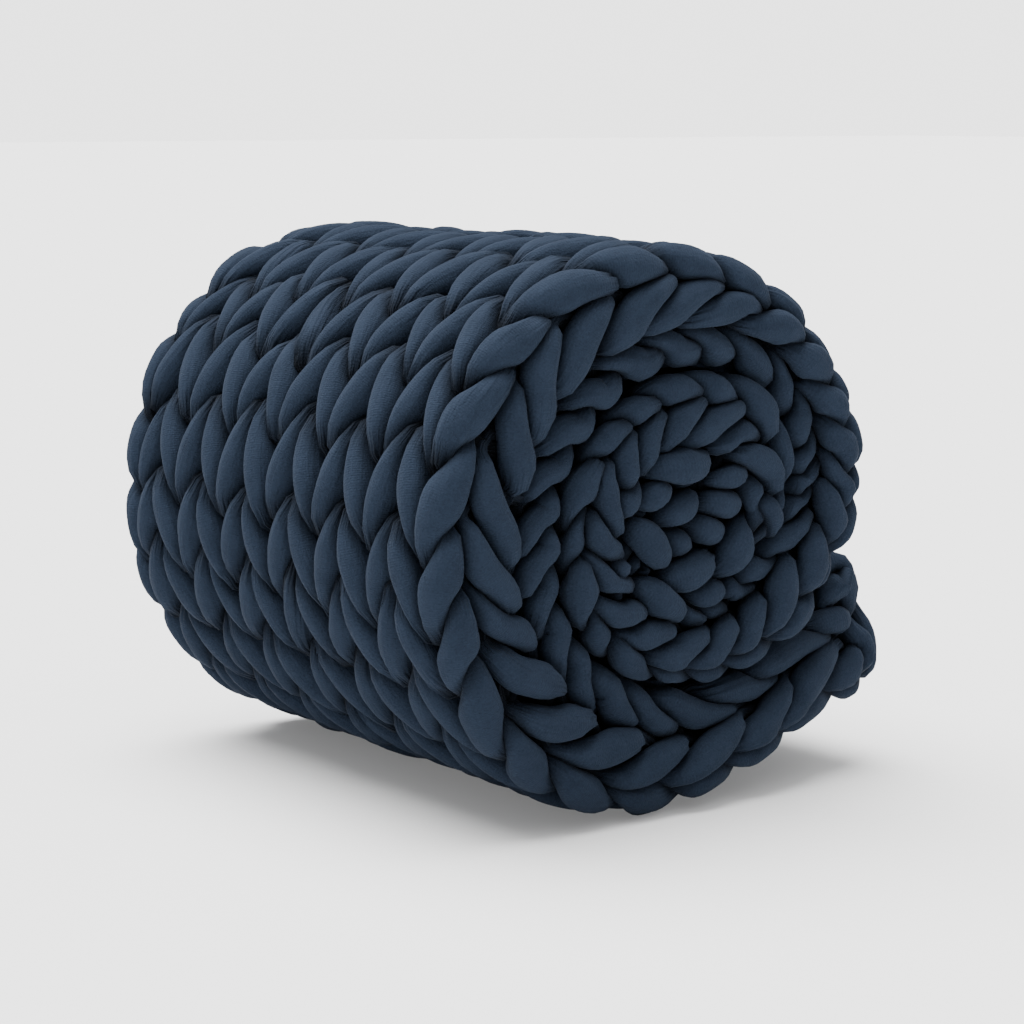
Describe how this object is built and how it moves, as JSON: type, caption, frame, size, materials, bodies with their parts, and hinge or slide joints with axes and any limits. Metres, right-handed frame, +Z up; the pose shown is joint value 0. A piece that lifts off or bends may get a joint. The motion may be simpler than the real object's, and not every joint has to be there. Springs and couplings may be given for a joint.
{
  "type": "rolled chunky-knit weighted blanket",
  "caption": "Weighted blanket of thick stuffed-tube yarn in plain knit, rolled up and resting on its side with its loose end out.",
  "frame": {"origin": "middle of the bounding rectangle on the surface that the roll rests on", "axes": "+Z up, Y along the roll's axis with the shown end at -Y, +X towards the loose end of the blanket"},
  "size_m": [0.4934, 0.4795, 0.4462],
  "materials": {
    "jersey": "matte fine-knit stretch jersey tube, dark navy blue, faint sheen"
  },
  "bodies": {
    "root": {"rolled_blanket": "jersey"}
  },
  "joints": []
}
